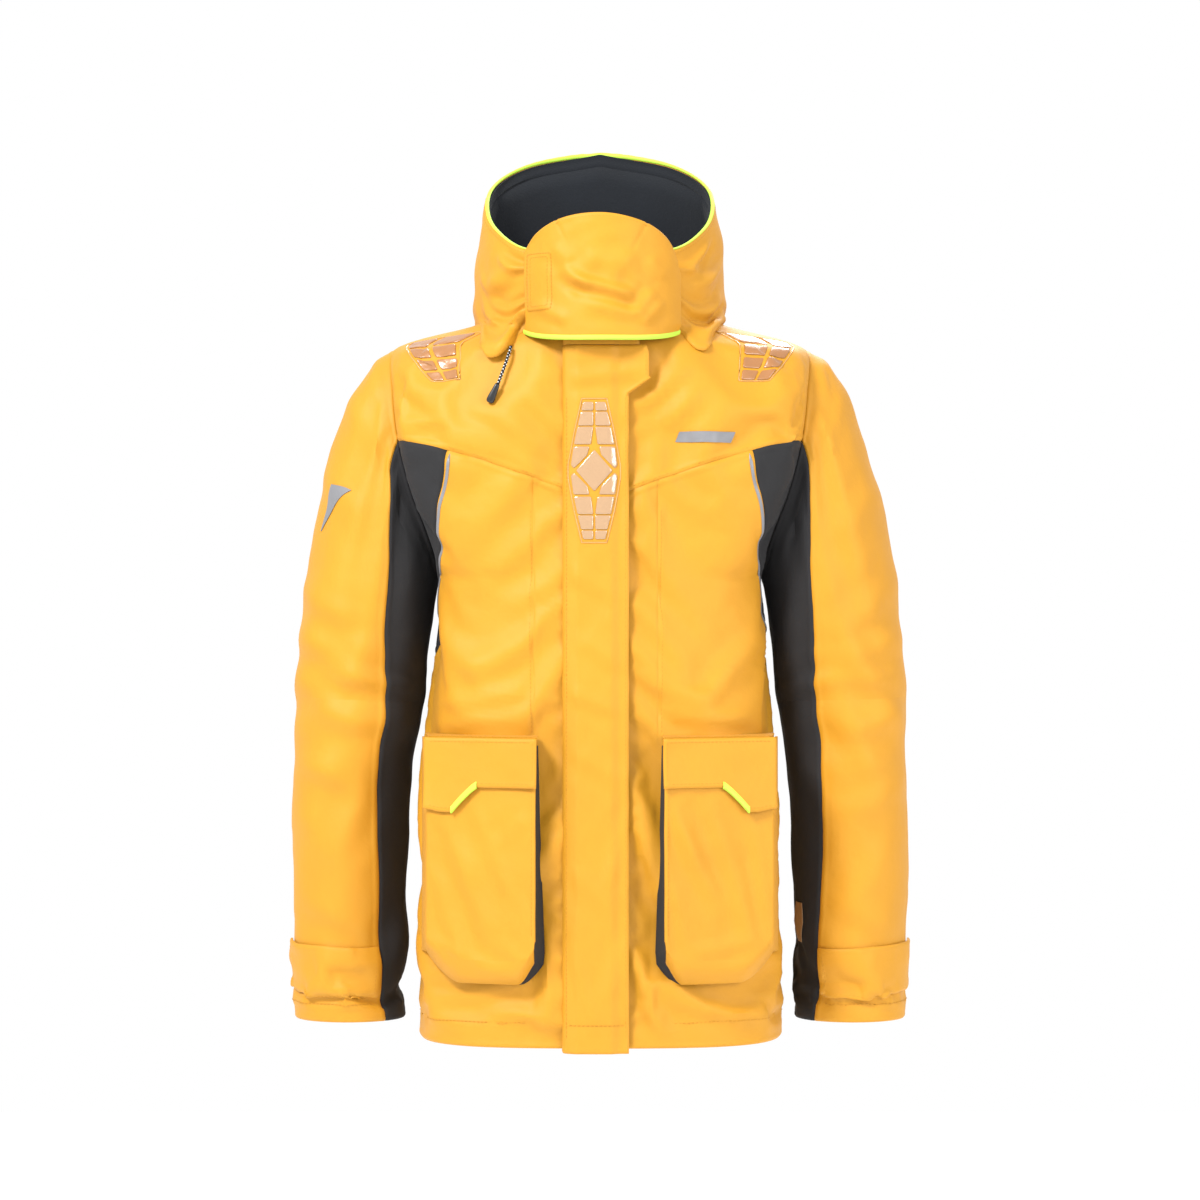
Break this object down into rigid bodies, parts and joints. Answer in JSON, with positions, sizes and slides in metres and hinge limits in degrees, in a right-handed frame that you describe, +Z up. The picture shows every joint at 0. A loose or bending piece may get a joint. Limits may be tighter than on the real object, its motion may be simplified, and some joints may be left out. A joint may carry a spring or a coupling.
{
  "type": "foul weather jacket",
  "caption": "Waterproof offshore sailing jacket with high collar, face guard, storm flap over the zip, cargo pockets and adjustable cuffs.",
  "frame": {"origin": "middle of the neck base, between the shoulders, where the jacket rests on the wearer", "axes": "+X to the wearer's left, -Y out of the front, +Z up"},
  "size_m": [0.6244, 0.2988, 0.8931],
  "materials": {
    "shell": "coated plain weave, semi-matt yellow",
    "softshell": "matt charcoal ripstop",
    "reflective": "grey glass-bead film",
    "lining": "grey mesh",
    "fleece": "dark brushed fleece",
    "fluoro": "fluorescent yellow-green piping",
    "zip_tape": "woven tape",
    "zip_teeth": "moulded acetal",
    "zip_metal": "painted die casting",
    "moulded": "soft moulded black",
    "hook_and_loop": "black hook and loop",
    "clear_print": "glossy translucent reflective cells",
    "wear_print": "matt printed wear cells",
    "cord": "braided black cord with white flecks"
  },
  "bodies": {
    "torso": {"front_panel_right": "shell", "side_panel_right": "softshell", "reflective_piping_right": "reflective", "front_yoke_right": "shell", "lining_right": "lining", "zip_tape_right": "zip_tape", "zip_chain_right": "zip_teeth", "shoulder_patch_right": "wear_print", "pocket_right": "shell", "pocket_gusset_right": "softshell", "front_panel_left": "shell", "side_panel_left": "softshell", "reflective_piping_left": "reflective", "front_yoke_left": "shell", "lining_left": "lining", "zip_tape_left": "zip_tape", "zip_chain_left": "zip_teeth", "shoulder_patch_left": "wear_print", "pocket_left": "shell", "pocket_gusset_left": "softshell", "back_panel": "shell", "back_yoke": "shell", "lining_back": "lining", "hem_facing": "softshell", "collar_shell": "shell", "collar_lining": "fleece", "collar_piping": "fluoro", "stowed_hood": "fluoro", "hanging_loop": "softshell", "storm_flap_loop": "hook_and_loop", "face_guard_loop": "hook_and_loop", "drawcord": "cord", "drawcord_pull": "moulded"},
    "storm_flap": {"storm_flap": "shell", "storm_flap_hook": "hook_and_loop", "chest_patch": "clear_print"},
    "face_guard": {"face_guard": "shell", "face_guard_hem": "fluoro", "face_guard_hook": "hook_and_loop"},
    "zip_slider": {"zip_slider": "zip_metal"},
    "zip_puller": {"zip_puller": "moulded"},
    "pocket_flap_right": {"pocket_flap_right": "shell", "flap_accent_right": "fluoro"},
    "upper_sleeve_right": {"upper_sleeve_right": "shell", "underarm_right": "softshell", "sleeve_badge": "reflective"},
    "lower_sleeve_right": {"lower_sleeve_right": "shell", "forearm_right": "softshell", "inner_cuff_right": "softshell"},
    "cuff_tab_right": {"cuff_tab_right": "shell"},
    "pocket_flap_left": {"pocket_flap_left": "shell", "flap_accent_left": "fluoro"},
    "upper_sleeve_left": {"upper_sleeve_left": "shell", "underarm_left": "softshell"},
    "lower_sleeve_left": {"lower_sleeve_left": "shell", "forearm_left": "softshell", "inner_cuff_left": "softshell", "wear_patch": "wear_print"},
    "cuff_tab_left": {"cuff_tab_left": "shell"}
  },
  "joints": [
    {"name": "storm_flap_hinge", "type": "hinge", "parent": "torso", "child": "storm_flap", "pos_m": [-0.0375, -0.12588, -0.022], "axis": [0, -0.04, -0.9992], "range_deg": [0, 100]},
    {"name": "face_guard_hinge", "type": "hinge", "parent": "torso", "child": "face_guard", "pos_m": [0.0785, -0.1072, 0.02], "axis": [0, 0, 1], "range_deg": [0, 140]},
    {"name": "main_zip_slide", "type": "slide", "parent": "torso", "child": "zip_slider", "axis": [0, -0.04, -0.9992], "range_m": [0, 0.7]},
    {"name": "zip_puller_hinge", "type": "hinge", "parent": "zip_slider", "child": "zip_puller", "pos_m": [0, -0.12682, 0.05966], "axis": [-1, 0, 0], "range_deg": [0, 85]},
    {"name": "pocket_flap_right_hinge", "type": "hinge", "parent": "torso", "child": "pocket_flap_right", "pos_m": [-0.061, -0.1708, -0.396], "axis": [-0.9348, 0.3552, 0], "range_deg": [0, 150]},
    {"name": "shoulder_right", "type": "hinge", "parent": "torso", "child": "upper_sleeve_right", "pos_m": [-0.2065, 0, -0.0135], "axis": [0, 1, 0], "range_deg": [0, 80]},
    {"name": "elbow_right", "type": "hinge", "parent": "upper_sleeve_right", "child": "lower_sleeve_right", "pos_m": [-0.241, -0.0735, -0.3625], "axis": [-1, 0, 0], "range_deg": [0, 100]},
    {"name": "cuff_tab_right_hinge", "type": "hinge", "parent": "lower_sleeve_right", "child": "cuff_tab_right", "pos_m": [-0.215, -0.0485, -0.627], "axis": [0, 0, 1], "range_deg": [0, 120]},
    {"name": "pocket_flap_left_hinge", "type": "hinge", "parent": "torso", "child": "pocket_flap_left", "pos_m": [0.061, -0.1708, -0.396], "axis": [-0.9348, -0.3552, 0], "range_deg": [0, 150]},
    {"name": "shoulder_left", "type": "hinge", "parent": "torso", "child": "upper_sleeve_left", "pos_m": [0.2065, 0, -0.0135], "axis": [0, -1, 0], "range_deg": [0, 80]},
    {"name": "elbow_left", "type": "hinge", "parent": "upper_sleeve_left", "child": "lower_sleeve_left", "pos_m": [0.241, -0.0735, -0.3625], "axis": [-1, 0, 0], "range_deg": [0, 100]},
    {"name": "cuff_tab_left_hinge", "type": "hinge", "parent": "lower_sleeve_left", "child": "cuff_tab_left", "pos_m": [0.215, -0.0485, -0.627], "axis": [0, 0, -1], "range_deg": [0, 120]}
  ]
}
